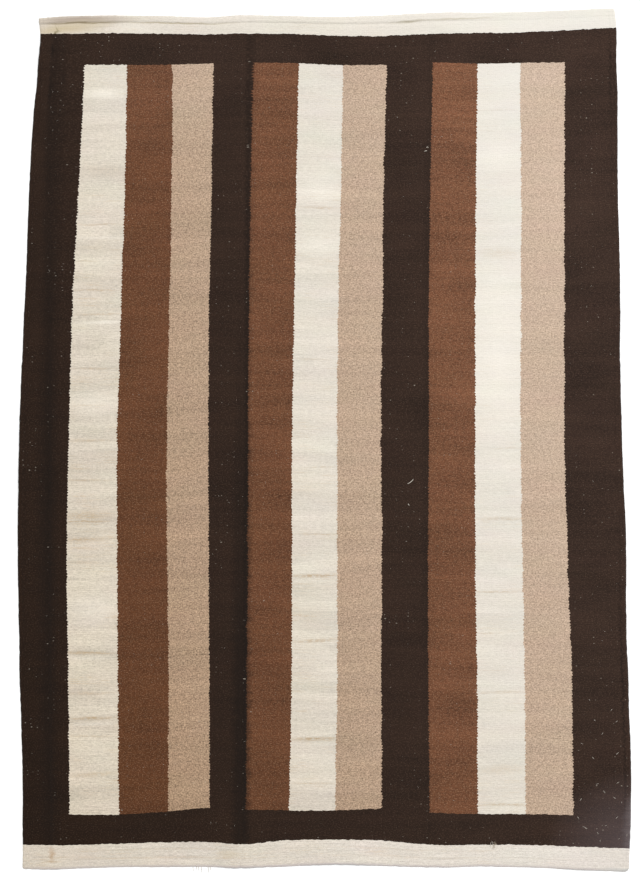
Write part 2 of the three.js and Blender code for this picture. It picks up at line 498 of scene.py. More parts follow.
# %% [markdown]
# ## The wool
#
# Undyed handspun wool in four fleeces: near-black, brown, beige and cream. Sheep's wool is a dull, scaly
# fibre, so it has almost no highlight, a high roughness and a faint sheen from the fuzz that stands up off
# the yarn. What the eye reads as "handspun" is the tone: dark and light fibres are carded together, so the
# beige is speckled, and the cream yarn changes along its length, so it lies in thin cross streaks.
#
# One small function adds a node. What repeats is a table and a loop.

# %% The node helper and the colour helper
def linear(code):
    """A #rrggbb colour as linear light."""
    parts = [int(code[i : i + 2], 16) / 255 for i in (1, 3, 5)]
    return [p / 12.92 if p <= 0.04045 else ((p + 0.055) / 1.055) ** 2.4 for p in parts] + [1.0]


def add(tree, kind, settings, sockets):
    """Adds a node and fills or links its sockets, by name or number. A node stands for its first output.

    Settings that are one word are the operation of a maths node.
    """
    made = tree.nodes.new("ShaderNode" + kind)
    if isinstance(settings, str):
        settings = {"operation": settings}
    for name, value in settings.items():
        setattr(made, name, value)
    for key, value in sockets.items():
        socket = made.inputs[key] if isinstance(key, int) else next(
            s for s in made.inputs if s.name == key and s.enabled
        )
        if isinstance(value, bpy.types.Node):
            value = next(s for s in value.outputs if s.enabled)
        if isinstance(value, bpy.types.NodeSocket):
            tree.links.new(value, socket)
        else:
            socket.default_value = value
    return made


def blank(name):
    """A new material, and its node tree with nothing in it."""
    made = bpy.data.materials.new(name)
    made.use_nodes = True
    made.node_tree.nodes.clear()
    return made, made.node_tree


wool, tree = blank("handspun wool, weft-faced weave")
weave_at = add(tree, "UVMap", {"uv_map": "weave"}, {})
parts = add(tree, "SeparateXYZ", {}, {"Vector": weave_at})
u, v = parts.outputs["X"], parts.outputs["Y"]
print("material:", wool.name)

# %% [markdown]
# Every unevenness in the wool is a noise stretched to the size of its cause. A blotch of carded fibre is
# about as wide as the yarn. A thick stretch of handspun yarn is a finger's breadth long. A new ball of yarn,
# or a new day's spinning, changes the tone for the whole width of a stripe. Colour noise, three at once,
# does the same for the hue. Where the weaver took up the next length of yarn, a patch of a few courses has
# a tone of its own with clear edges: that is a Voronoi pattern, one tone for each cell.
#
# The real courses are about 1.3 mm apart, half of what one pixel shows, so the yarn is drawn twice as thick.
#
# Mapping stretches the coordinates to the size of a blotch or a cell before each pattern is drawn in them.

# %% The unevenness of the wool
# name: width and height of one blotch in millimetres, detail, roughness, which stretch of the noise it uses
BLOTCHES = {
    "fibre": (3.9, 3.0, 2.0, 0.6, 0),
    "fleck": (3.4, 2.6, 1.0, 0.5, 1),
    "lock": (11.0, 6.5, 2.0, 0.6, 2),
    "slub": (11.0, 2.6, 2.0, 0.55, 3),
    "course": (90.0, 2.8, 2.0, 0.5, 4),
    "ball": (330.0, 26.0, 1.0, 0.5, 5),
    "wear": (170.0, 120.0, 2.0, 0.5, 6),
    "hue": (150.0, 60.0, 3.0, 0.6, 7),
    "ragged": (40.0, 10.0, 3.0, 0.5, 0),
    "tooth wander": (90.0, 5.5, 1.0, 0.5, 0),
    "join wander": (90.0, 45.0, 1.0, 0.5, 0),
    "band wander": (12.0, 200.0, 2.0, 0.5, 0),
    "cluster": (160.0, 50.0, 1.0, 0.5, 0),
    "hairy": (70.0, 50.0, 1.0, 0.5, 0),
}
NEXT_STRETCH = (7.3, 3.1)
tone = {}
for name, (wide, high, detail, rough, stretch) in BLOTCHES.items():
    stretched = add(tree, "Mapping", {}, {
        "Vector": weave_at,
        "Scale": (1 / (wide * MM), 1 / (high * MM), 1),
        "Location": (stretch * NEXT_STRETCH[0], stretch * NEXT_STRETCH[1], 0),
    })
    tone[name] = add(tree, "TexNoise", {"noise_dimensions": "2D"}, {
        "Vector": stretched, "Scale": 1.0, "Detail": detail, "Roughness": rough
    })

# name: width and height of one cell in millimetres
CELLS = {"skein": (190, 27), "kemp": (15, 9)}
cells = {}
for name, (wide, high) in CELLS.items():
    stretched = add(tree, "Mapping", {}, {"Vector": weave_at, "Scale": (1 / (wide * MM), 1 / (high * MM), 1)})
    cells[name] = add(tree, "TexVoronoi", {"voronoi_dimensions": "2D"}, {"Vector": stretched, "Scale": 1.0})
tone["skein"] = add(tree, "SeparateXYZ", {}, {"Vector": cells["skein"].outputs["Color"]}).outputs["X"]

print("patterns:", list(tone))

# %% Marks, which show only where a noise is above a level
# name: the noise it shows in, the level where it starts, how steeply it grows from there
MARKS = {
    "specks": ("fleck", 0.56, 7.0),
    "dashes": ("slub", 0.34, 5.0),
    "clusters": ("cluster", 0.47, 8.0),
    "streaks": ("course", 0.55, 8.0),
}
marked = {}
for name, (cause, level, steep) in MARKS.items():
    marked[name] = add(tree, "Math", {"operation": "MULTIPLY_ADD", "use_clamp": True}, {
        0: tone[cause], 1: steep, 2: -steep * level
    })
print("marks:", list(marked))

# %% [markdown]
# Much of what follows sits in one place only: a faded patch, a brown streak, a stain. Each such place is a
# soft spot, stretched to its shape. Mapping in its texture mode moves, turns and scales the coordinates,
# and a spherical gradient then fades from its middle. The coordinates are shaken first, so that no spot has
# a clean edge.

# %% A soft spot
# The width of the shaking, across and along, in millimetres.
RAGGED = (26, 7, 0)
shift = add(tree, "VectorMath", "SUBTRACT", {0: tone["ragged"].outputs["Color"], 1: (0.5, 0.5, 0.5)})
shift = add(tree, "VectorMath", "MULTIPLY", {0: shift, 1: [side * MM for side in RAGGED]})
ragged_at = add(tree, "VectorMath", "ADD", {0: weave_at, 1: shift})
print("a spot's edge wanders by at most", RAGGED[0] / 2, "mm across and", RAGGED[1] / 2, "mm along")


def spot(across, along, half_width, half_height, turn):
    """A soft spot, 1 in its middle and 0 at its edge. Its sizes are in millimetres, its turn in degrees."""
    from_middle = add(tree, "Mapping", {"vector_type": "TEXTURE"}, {
        "Vector": ragged_at,
        "Location": (across * MM, along * MM, 0),
        "Rotation": (0, 0, np.radians(turn)),
        "Scale": (half_width * MM, half_height * MM, 1),
    })
    return add(tree, "TexGradient", {"gradient_type": "SPHERICAL"}, {"Vector": from_middle}).outputs["Fac"]


# %% [markdown]
# All the colours are painted paler towards the right head corner. This is painted light: it stands in for the
# brighter side of the lighting and for a pale veil over the dark wool. Each wool has two usual colours, one
# with painted shade for the left foot corner and one with painted light for the right head corner. Its
# weights say how much each cause of unevenness counts, and "evened" how much of that the painted light takes
# away, or adds where it is below 0. Each also holds specks of another fleece: the brown has pale ones, and
# the beige was carded from light and dark locks, and is all specks.

# %% The wools
WOOLS = {
    "dark": {
        "shaded": "#1b0e04", "painted_lit": "#31231c", "specks": ("#6a5446", 0.14), "evened": -0.6,
        "weights": {"fibre": 0.5, "slub": 0.5, "course": 0.25, "ball": 0.3, "wear": 0.4},
    },
    "brown": {
        "shaded": "#492911", "painted_lit": "#6c4733", "specks": ("#b08a6c", 0.20), "evened": -0.75,
        "weights": {"fibre": 0.7, "lock": 0.45, "slub": 0.4, "course": 0.2, "ball": 0.3, "wear": 0.3},
    },
    "beige": {
        "shaded": "#93775b", "painted_lit": "#bba693", "specks": ("#755a46", 0.65), "evened": 0.54,
        "weights": {"fibre": 2.2, "lock": 0.7, "slub": 0.7, "course": 0.15, "ball": 0.3, "skein": 0.05},
    },
    "cream": {
        "shaded": "#c2b6a3", "painted_lit": "#d5d0c7", "specks": ("#b5a286", 0.14), "evened": 0.86,
        "weights": {"fibre": 0.6, "slub": 0.7, "course": 0.4, "ball": 0.25, "skein": 0.14},
    },
    "grey cream": {
        "shaded": "#c7bdae", "painted_lit": "#d9d3cb", "specks": ("#9c8872", 0.30), "evened": 0.4,
        "weights": {"fibre": 0.4, "lock": 0.1, "slub": 0.6, "course": 0.5, "skein": 0.05},
    },
}
# How quickly the painted light grows, for each metre to the right and up the rug, and how much more light
# is painted on the head's left part.
PAINTED_LIGHT_SLOPE = (0.5, 0.18)
PAINTED_LIGHT_HEAD = (-430, 2010, 430, 240, 0)
PAINTED_LIGHT_HEAD_SHARE = 0.2
LEFT_HALF = 0.75
# The share of painted light, from none at the left foot corner to most at the right head corner.
painted_lit = add(tree, "Math", "MULTIPLY_ADD", {0: u, 1: PAINTED_LIGHT_SLOPE[0], 2: PAINTED_LIGHT_SLOPE[0] * LEFT_HALF})
painted_lit = add(tree, "Math", "MULTIPLY_ADD", {0: v, 1: PAINTED_LIGHT_SLOPE[1], 2: painted_lit})
painted_lit = add(tree, "Math", {"operation": "MULTIPLY_ADD", "use_clamp": True}, {
    0: spot(*PAINTED_LIGHT_HEAD), 1: PAINTED_LIGHT_HEAD_SHARE, 2: painted_lit
})
wool_colour, unevened = {}, {}
for name, kind in WOOLS.items():
    level = -sum(kind["weights"].values()) / 2
    for cause, weight in kind["weights"].items():
        level = add(tree, "Math", "MULTIPLY_ADD", {0: tone[cause], 1: weight, 2: level})
    kept = add(tree, "Math", "MULTIPLY_ADD", {0: painted_lit, 1: -kind["evened"], 2: 1.0})
    level = add(tree, "Math", "MULTIPLY_ADD", {0: level, 1: kept, 2: 1.0})
    # From the wool's colour under painted shade to its colour under painted light.
    usual = add(tree, "Mix", {"data_type": "RGBA"}, {
        "Factor": painted_lit, "A": linear(kind["shaded"]), "B": linear(kind["painted_lit"])
    })
    usual = add(tree, "VectorMath", "SCALE", {0: usual, "Scale": level})
    speck_colour, share = kind["specks"]
    amount = add(tree, "Math", "MULTIPLY", {0: marked["specks"], 1: share})
    amount = add(tree, "Math", "MULTIPLY", {0: amount, 1: kept})
    unevened[name] = kept
    wool_colour[name] = add(tree, "Mix", {"data_type": "RGBA"}, {
        "Factor": amount, "A": usual, "B": linear(speck_colour)
    })
print("wools:", list(wool_colour))

# %% [markdown]
# ## Dovetailed joins
#
# Where two colours meet, their yarns turn round one shared warp by turns, a few courses each. Seen from a
# step away that makes a row of small teeth, 7 mm apart. So the warp coordinate is shaken sideways before it
# is compared with the joins: a zigzag of the weft for the teeth, and noise for the joins' unsteadiness.

# %% Shake the warps and the wefts
TOOTH_PITCH = 7.0
TOOTH_DEPTH = 2.2
shaken = add(tree, "Math", "PINGPONG", {0: v, 1: TOOTH_PITCH / 2 * MM})
shaken = add(tree, "Math", "MULTIPLY_ADD", {
    0: shaken, 1: TOOTH_DEPTH / (TOOTH_PITCH / 2), 2: -TOOTH_DEPTH / 2 * MM
})
# How far each noise moves the join, in millimetres.
for name, shift in {"tooth wander": 6.0, "join wander": 5.0}.items():
    wander = add(tree, "Math", "SUBTRACT", {0: tone[name], 1: 0.5})
    shaken = add(tree, "Math", "MULTIPLY_ADD", {0: wander, 1: shift * MM, 2: shaken})
shaken_u = add(tree, "Math", "ADD", {0: u, 1: shaken})

WAVE = 5.0
shaken_v = add(tree, "Math", "MULTIPLY_ADD", {0: tone["band wander"], 1: WAVE * MM, 2: v})
shaken_v = add(tree, "Math", "SUBTRACT", {0: shaken_v, 1: WAVE / 2 * MM})
print("teeth:", TOOTH_DEPTH, "mm deep, one every", TOOTH_PITCH, "mm")

# %% [markdown]
# A stripe is where the shaken warp lies within half its width of its middle. Each stripe's mask then lays
# its wool over what is there already, and the two end bands go on last.

# %% Lay the stripes and the bands
def between(name_a, name_b, lines):
    """The middle and the half width of what lies between two named lines, in metres."""
    return {1: (lines[name_a] + lines[name_b]) / 2 * MM, 2: (lines[name_b] - lines[name_a]) / 2 * MM}


GROUPS = [("cream", "brown", "beige"), ("brown", "cream", "beige"), ("brown", "cream", "beige")]
BANDS = [("grey cream", "LESS_THAN", "foot band"), ("cream", "GREATER_THAN", "head band")]
in_field = add(tree, "Math", "COMPARE", {0: shaken_v, **between("stripes start", "stripes end", weft)})
colour = wool_colour["dark"]
in_cream = 0.0
for number, kinds in enumerate(GROUPS, 1):
    lines = [f"{kind} {number}" for kind in kinds] + [f"after {number}"]
    for kind, start, end in zip(kinds, lines, lines[1:]):
        mask = add(tree, "Math", "COMPARE", {0: shaken_u, **between(start, end, warp)})
        mask = add(tree, "Math", "MULTIPLY", {0: mask, 1: in_field})
        colour = add(tree, "Mix", {"data_type": "RGBA"}, {
            "Factor": mask, "A": colour, "B": wool_colour[kind]
        })
        if kind == "cream":
            in_cream = add(tree, "Math", "ADD", {0: mask, 1: in_cream})
for kind, operation, edge in BANDS:
    mask = add(tree, "Math", operation, {0: shaken_v, 1: weft[edge] * MM})
    colour = add(tree, "Mix", {"data_type": "RGBA"}, {"Factor": mask, "A": colour, "B": wool_colour[kind]})
    in_cream = add(tree, "Math", "ADD", {0: in_cream, 1: mask})
not_cream = add(tree, "Math", "SUBTRACT", {0: 1.0, 1: in_cream})

HUE_SHIFT = 0.05
tint = add(tree, "VectorMath", "MULTIPLY_ADD", {
    0: tone["hue"].outputs["Color"], 1: (HUE_SHIFT,) * 3, 2: (1 - HUE_SHIFT / 2,) * 3
})
colour = add(tree, "VectorMath", "MULTIPLY", {0: colour, 1: tint})
print("stripes:", sum(len(kinds) for kinds in GROUPS), "bands:", len(BANDS))

# %% [markdown]
# ## Streaks, shades and stains
#
# The cream yarn was spun from fleeces that weren't quite alike, so some courses are browner and some patches
# are lighter. The main ones are placed one by one, as soft spots stretched until they are streaks.

# %% The streaks and patches in the cream wool
def spots(rows, where):
    """The sum of many spots, each times its strength, kept to a part of the rug."""
    total = 0.0
    for *form, strength in rows:
        total = add(tree, "Math", "MULTIPLY_ADD", {0: spot(*form), 1: strength, 2: total})
    return add(tree, "Math", {"operation": "MULTIPLY", "use_clamp": True}, {0: total, 1: where})


# across, along, half length, half height, turn, strength
BROWNER_COURSES = [
    (-580, 1755, 95, 24, 0, 0.16), (-590, 1622, 80, 4, 0, 0.5), (-585, 1458, 80, 4, 0, 0.5),
    (-575, 1398, 80, 5, 1, 0.5), (-585, 1262, 90, 4, 0, 0.45), (-590, 1083, 90, 5, 0, 0.45),
    (-590, 983, 85, 4, 0, 0.5), (-585, 897, 95, 15, 1, 0.5), (-590, 881, 85, 3, 0, 0.9),
    (-590, 835, 90, 9, 3, 0.5), (-600, 778, 80, 5, 0, 0.35), (-590, 553, 95, 5, 0, 0.8),
    (-585, 452, 85, 5, 1, 0.45), (-580, 390, 90, 5, 2, 0.8), (-590, 345, 85, 4, 0, 0.4),
    (-580, 250, 95, 9, 4, 0.45), (-560, 1680, 60, 3, 0, 0.4), (-610, 1530, 50, 3, 2, 0.4),
    (-20, 1661, 70, 4, 0, 0.4), (-20, 842, 80, 4, 0, 0.45), (-25, 738, 85, 6, 2, 0.8),
    (-25, 575, 85, 6, 4, 0.6), (-25, 328, 85, 6, 1, 0.8), (-25, 217, 80, 4, 0, 0.4),
    (-40, 640, 60, 60, 0, 0.14), (-10, 1010, 70, 3, 1, 0.35), (-30, 1280, 60, 3, 0, 0.3),
    (435, 1905, 75, 4, 0, 0.15), (430, 1548, 70, 20, 0, 0.25), (435, 885, 80, 7, 0, 0.4),
    (435, 703, 85, 4, 0, 0.4), (440, 453, 85, 5, 1, 0.4), (440, 260, 85, 16, 2, 0.3),
    (440, 172, 85, 5, 0, 0.6), (400, 600, 50, 3, 0, 0.35), (460, 1060, 60, 3, 0, 0.3),
    (-400, 52, 300, 3, 0, 0.35), (180, 50, 320, 3, 0, 0.25), (-420, 27, 330, 4, 0, 0.35),
    (300, 28, 380, 4, 0, 0.2),
]
LIGHTER_PATCHES = [
    (-585, 1948, 75, 20, 0, 0.4), (-580, 1180, 95, 40, 0, 0.25), (-580, 660, 95, 60, 0, 0.25),
    (-20, 1700, 90, 60, 0, 0.25), (-20, 1565, 90, 40, 0, 0.25), (435, 1795, 95, 50, 0, 0.2),
    (435, 1300, 110, 300, 0, 0.25), (-500, 2108, 80, 14, 0, 0.25), (60, 2115, 500, 90, 0, 0.03),
    (-560, 1378, 85, 6, 1, 0.4), (-565, 1589, 80, 5, 0, 0.22), (-570, 1681, 75, 5, 0, 0.22),
    (-590, 868, 85, 5, 0, 0.18), (-590, 540, 90, 6, 0, 0.18), (-585, 375, 90, 6, 2, 0.2),
    (-25, 725, 85, 6, 2, 0.15), (-25, 315, 85, 6, 1, 0.15),
]
browner = spots(BROWNER_COURSES, in_cream)
browner = add(tree, "Math", "MULTIPLY", {0: browner, 1: marked["dashes"]})

# The fainter streaks come by themselves, in clusters.
STREAK_SHARE = 0.5
streaks = marked["streaks"]
for share in (marked["clusters"], marked["dashes"], in_cream, unevened["cream"], STREAK_SHARE):
    streaks = add(tree, "Math", "MULTIPLY", {0: streaks, 1: share})
browner = add(tree, "Math", {"operation": "ADD", "use_clamp": True}, {0: browner, 1: streaks})

lighter = spots(LIGHTER_PATCHES, in_cream)
for amount, code in ((lighter, "#f6f0e4"), (browner, "#a08560")):
    colour = add(tree, "Mix", {"data_type": "RGBA"}, {"Factor": amount, "A": colour, "B": linear(code)})
print("streaks:", len(BROWNER_COURSES), "patches:", len(LIGHTER_PATCHES))

# %% [markdown]
# Painted shade: the bottoms of the folds, the grooves beside the cords, the dark side of two joins and the
# crumple at the head's left corner are darkened in the colour, more than their shape alone makes them. Most
# of these shades run along a warp, a straight line in the weave's coordinates.

# %% Painted shade along the folds, joins and cords
field_fold, left_fold, right_edge, left_edge_warp = (
    warp[name] for name in ("field crease", "left crease", "right", "left")
)
# across, along, half width, half height, turn, strength
SHADES = [
    (field_fold - 10, 350, 28, 1250, 0, 0.68),
    (field_fold + 8, 250, 13, 1300, 0, 0.30),
    (field_fold + 6, 1600, 14, 1100, 0, 0.22),
    (left_fold, 950, 32, 2400, 0, 0.62),
    (right_edge - 15, 420, 4, 520, 0, 0.6),
    (right_edge - 17, 2000, 4, 150, 0, 0.6),
    (right_edge - 7, 1980, 4, 130, 0, 0.5),
    (left_edge_warp + 15, 900, 3, 900, 0, 0.3),
    (-700, 2056, 10, 22, 25, 0.6),
    (-672, 1990, 8, 22, 0, 0.3),
    (-700, 1960, 14, 60, -8, 0.4),
    (warp["brown 3"] - 6, 1200, 12, 1800, 0, 0.25),
    (warp["brown 2"] - 4, 1500, 7, 1500, 0, 0.3),
]
shade = spots(SHADES, not_cream)
# The shade mixes the colour towards near-black: painted shade.
colour = add(tree, "Mix", {"data_type": "RGBA"}, {"Factor": shade, "A": colour, "B": linear("#120c08")})
print("shades:", len(SHADES))

# %% [markdown]
# A stain is the same soft spot with a colour of its own: yellow-brown damp marks on the end bands, and a
# grey bloom on the dark wool at the right foot corner, where it is matted and full of lint. The same spots
# also paint shade on the end bands: the roll's left end and the head corner beside it, the groove under the
# roll, the fold lines at the head's left end, the foot of the field crease, and the rounded foot edge with
# its right corner.

# %% Stains, painted shade and bloom
# name: colour, then the spot with its strength
STAINS_AND_PAINTED_SHADE = {
    # Painted shade on the roll's left end, where the band tilts away from the light.
    "painted shade on the roll's left end": ("#a4968a", (-645, 2131, 170, 15, 0, 1.1)),
    # A yellow damp stain, and painted shade where the head corner tilts away from the light.
    "damp stain and painted shade at the head corner": ("#beb095", (-690, 2108, 150, 22, 6, 1.1)),
    # Painted shade: four lines of the groove's shadow under the roll.
    "painted shade in the groove": ("#85775c", (-640, 2123, 140, 3, 0, 1.0)),
    "painted shade in the groove's right end": ("#a79c80", (-380, 2123, 200, 2.5, 0, 0.9)),
    "painted fold shade in the groove's middle": ("#a9a08c", (198, 2124, 62, 4, 1, 0.9)),
    "painted shade in the groove right of the middle": ("#b8b09c", (330, 2127, 130, 2.5, 1, 0.8)),
    # Painted shade: the fold lines and the crumple at the head's left end.
    "painted shade of the fold lines at the head's left end": ("#8e8568", (-694, 2108, 3, 20, 0, 0.8)),
    "painted shade at the head corner's join": ("#6b6038", (-698, 2095, 16, 9, 20, 0.9)),
    "brown mark on the foot band": ("#a98a68", (-684, 42, 11, 30, 0, 0.7)),
    "second brown mark": ("#ab9272", (-680, 22, 34, 4, 0, 0.6)),
    "third brown mark": ("#ab9272", (-668, 34, 60, 3, 0, 0.4)),
    # Painted shade where the field crease runs into the foot band.
    "painted crease shade on the foot band": ("#b8a888", (-235, 38, 42, 16, 0, 0.4)),
    # Painted shade along the rounded foot edge and up its right corner.
    "painted shade along the foot edge": ("#b4abac", (0, 1, 1500, 7, 0, 0.75)),
    "painted shade at the foot's right corner": ("#b9bab5", (735, 3, 80, 10, 0, 0.9)),
    "painted shade up the corner's side": ("#c3c5c0", (766, 34, 11, 60, 0, 0.7)),
}
BLOOM = {
    "bloom at the right foot corner": ("#9a8c92", (760, 60, 225, 205, 0, 0.155)),
    "bloom along its edge": ("#b8b0b4", (785, 112, 66, 150, 0, 0.34)),
    "tuft at the foot band's join": ("#8a7f6f", (417, 67, 5, 15, 0, 0.9)),
}
# Stains and painted shade go on the cream stripes and end bands; the bloom goes anywhere.
for stains_and_shades, ground in ((STAINS_AND_PAINTED_SHADE, in_cream), (BLOOM, 1.0)):
    for code, row in stains_and_shades.values():
        amount = spots([row], ground)
        colour = add(tree, "Mix", {"data_type": "RGBA"}, {"Factor": amount, "A": colour, "B": linear(code)})
print("stains:", len(STAINS_AND_PAINTED_SHADE), "blooms:", len(BLOOM))

# %% [markdown]
# Stiff white hairs, called kemp, don't take part in the spinning and lie all through the dark and brown
# wool. Most are shorter than a pixel, so they are dots: a Voronoi pattern has one middle in each cell, and
# a dot is drawn round the middle if the cell is lucky and its neighbourhood is hairy.

# %% Kemp dots
# How large a dot may grow, as a share of its cell, and the luck and hairiness that it takes to show at all.
KEMP_DOT = 0.30
KEMP_RARE = 1.27
KEMP_STRENGTH = 0.44
# across, along, half width, half height, turn, strength
LINTY = [
    (-256, 560, 40, 110, 0, 0.12), (-250, 1720, 45, 260, 0, 0.1), (-672, 1960, 26, 26, 0, 0.08),
    (-665, 1904, 34, 28, 0, 0.06), (-556, 2050, 22, 50, 0, 0.12), (690, 180, 110, 260, 0, 0.06),
    (670, 1450, 60, 520, 0, 0.06), (175, 1080, 60, 400, 0, 0.06),
]
luck = add(tree, "SeparateXYZ", {}, {"Vector": cells["kemp"].outputs["Color"]})
size = luck.outputs["X"]
for more in (tone["hairy"], spots(LINTY, not_cream)):
    size = add(tree, "Math", "ADD", {0: size, 1: more})
size = add(tree, "Math", "MULTIPLY_ADD", {0: size, 1: KEMP_DOT, 2: -KEMP_DOT * KEMP_RARE})
dots = add(tree, "Math", "LESS_THAN", {0: cells["kemp"].outputs["Distance"], 1: size})
for share in (not_cream, luck.outputs["Y"], KEMP_STRENGTH):
    dots = add(tree, "Math", "MULTIPLY", {0: dots, 1: share})
colour = add(tree, "Mix", {"data_type": "RGBA"}, {"Factor": dots, "A": colour, "B": linear("#bdb3a4")})
print("kemp: at most one dot in", CELLS["kemp"], "mm")

# %% [markdown]
# ## The relief of the weave
#
# Height comes from the same causes as tone, so thick yarn is both lighter and higher. Under it all run the
# ribs: the weft humps over each warp and dips between the courses. Both are drawn about 5 mm apart, coarser
# than they are, so that they show. At each join the yarns of both sides share a warp, so it stands up as a
# low ridge.

# %% Relief
RIB_PITCH = 5.4
COURSE_PITCH = 5.0
height = 0.0
# (what, pitch, height) in millimetres
for coordinate, pitch, rise in ((u, RIB_PITCH, 0.045), (v, COURSE_PITCH, 0.03)):
    turn = add(tree, "Math", "MULTIPLY", {0: coordinate, 1: 2 * np.pi / (pitch * MM)})
    wave = add(tree, "Math", "COSINE", {0: turn})
    height = add(tree, "Math", "MULTIPLY_ADD", {0: wave, 1: rise, 2: height})
for cause, rise in {"fibre": 0.35, "slub": 0.6, "course": 0.5}.items():
    height = add(tree, "Math", "MULTIPLY_ADD", {0: tone[cause], 1: rise, 2: height})
RIDGE_HALF = 4.0
RIDGE = 0.35
for name in join_at:
    ridge = add(tree, "Math", "SUBTRACT", {0: shaken_u, 1: warp[name] * MM})
    ridge = add(tree, "Math", "ABSOLUTE", {0: ridge})
    ridge = add(tree, "Math", {"operation": "MULTIPLY_ADD", "use_clamp": True}, {
        0: ridge, 1: -1 / (RIDGE_HALF * MM), 2: 1.0
    })
    ridge = add(tree, "Math", "MULTIPLY", {0: ridge, 1: in_field})
    height = add(tree, "Math", "MULTIPLY_ADD", {0: ridge, 1: RIDGE, 2: height})
relief = add(tree, "Bump", {}, {"Height": height, "Strength": 1.0, "Distance": MM})

surface = add(tree, "BsdfPrincipled", {}, {
    "Base Color": colour,
    "Roughness": 0.95,
    "Specular IOR Level": 0.12,
    "Sheen Weight": 0.05,
    "Sheen Roughness": 0.6,
    "Normal": relief,
})
add(tree, "OutputMaterial", {}, {"Surface": surface})
mesh.materials.append(wool)
print("wool:", len(tree.nodes), "nodes")

# %% [markdown]
# ## Loose fibres
#
# The longest kemp hairs and a few yarn ends do show, and they stand clear of the face. Each is a bent tube
# with four sides. All of one kind are joined in one mesh, made in one go from lists of points.

# %% A helper that makes many strands
import random


def cloth_top(x, y):
    """The height of the face at places in millimetres."""
    x, y = np.array(x, float), np.array(y, float)
    return lift(x, y) + CLOTH


def strands(name, paths, material):
    """Makes one object of many thin tubes, each a path of points and a radius, in millimetres."""
    ring_of = np.array([(0, 1), (-1, 0), (0, -1), (1, 0)])
    verts, faces = [], []
    for path, radius in paths:
        path = np.array(path, float)
        ahead = np.gradient(path, axis=0)
        ahead /= np.linalg.norm(ahead, axis=1)[:, None]
        aside = np.cross(ahead, (0, 0, 1))
        aside /= np.linalg.norm(aside, axis=1)[:, None]
        upward = np.cross(aside, ahead)
        taper = np.full(len(path), 1.0)
        taper[[0, -1]] = 0.5
        first = len(verts)
        for point, a, b, share in zip(path, aside, upward, taper):
            for i, j in ring_of:
                verts.append((point + radius * share * (i * a + j * b)) * MM)
        for k in range(len(path) - 1):
            for s in range(4):
                one, two = first + 4 * k + s, first + 4 * k + (s + 1) % 4
                faces.append((one, two, two + 4, one + 4))
        last = first + 4 * (len(path) - 1)
        faces.append((first + 3, first + 2, first + 1, first))
        faces.append((last, last + 1, last + 2, last + 3))
    made = bpy.data.meshes.new(name)
    made.from_pydata([tuple(p - np.array((0, MIDDLE_ALONG * MM, 0))) for p in verts], [], faces)
    made.polygons.foreach_set("use_smooth", [True] * len(made.polygons))
    made.materials.append(material)
    print(name + ":", len(paths), "strands,", 2 * len(faces), "triangles at most")
    return put(name, made)


# How high a fibre arches, as a share of its length.
ARCHED = 0.03


def lying(across, along, length, heading, bend, clear=0.5, steps=5):
    """A path of a fibre that lies on the cloth, arched up a little in its middle."""
    share = np.linspace(-0.5, 0.5, steps)
    c, s = np.cos(np.radians(heading)), np.sin(np.radians(heading))
    hump = 1 - 4 * share**2
    x = across + share * length * c - bend * hump * s
    y = along + share * length * s + bend * hump * c
    z = cloth_top(x, y) + clear + ARCHED * length * hump
    return np.stack([x, y, z], 1)


print("the face over flat floor is", float(cloth_top(0, 700)), "mm up")

# %% [markdown]
# Kemp is chalky: a hollow, brittle hair that scatters light instead of gleaming, so it is white and rough.
# The hairs that show one by one are listed, most of them in the matted right foot corner, where
# they point two ways, as they were trodden. The rest are scattered over the dark and brown wool.

# %% The wool of a loose fibre
def loose_fibre(name, blotch, detail, codes, finish):
    """A material that goes between two colours in blotches of this size in millimetres."""
    made, nodes = blank(name)
    at = add(nodes, "TexCoord", {}, {}).outputs["Object"]
    grey = add(nodes, "TexNoise", {}, {"Vector": at, "Scale": 1 / (blotch * MM), "Detail": detail})
    ramp = add(nodes, "ValToRGB", {}, {"Fac": grey})
    for stop, code in zip(ramp.color_ramp.elements, codes):
        stop.color = linear(code)
    surface = add(nodes, "BsdfPrincipled", {}, {"Base Color": ramp, **finish})
    add(nodes, "OutputMaterial", {}, {"Surface": surface})
    return made


kemp = loose_fibre(
    "kemp, coarse white wool hair", 30, 1.0, ("#a89e92", "#e0d9ce"),
    {"Roughness": 0.8, "Specular IOR Level": 0.3},
)
print("loose fibre:", kemp.name)

# %% Kemp hairs
# across, along, length, heading in degrees, bend
HAIRS = [
    (732, 296, 8, 40, 0.5), (671, 285, 8, -45, 0.5), (682, 220, 7, 20, 0.4), (733, 223, 8, 30, 0.4),
    (699, 200, 8, -50, 0.5), (725, 185, 7, -40, 0.4), (641, 181, 8, 55, 0.6), (743, 174, 4, 80, 0.2),
    (634, 135, 8, -60, 0.5), (731, 136, 8, 45, 0.5), (650, 111, 12, -30, 1.0), (654, 109, 6, -10, 0.5),
    (703, 116, 5, 20, 0.2), (683, 97, 6, -65, 0.3), (756, 92, 7, 80, 0.5), (736, 83, 4, 30, 0.2),
    (689, 78, 5, 85, 0.2), (730, 376, 6, 35, 0.3), (675, 379, 6, -40, 0.3), (695, 346, 7, 60, 0.4),
    (643, 321, 6, -30, 0.4), (717, 405, 5, 50, 0.3), (662, 430, 5, -60, 0.3),
]
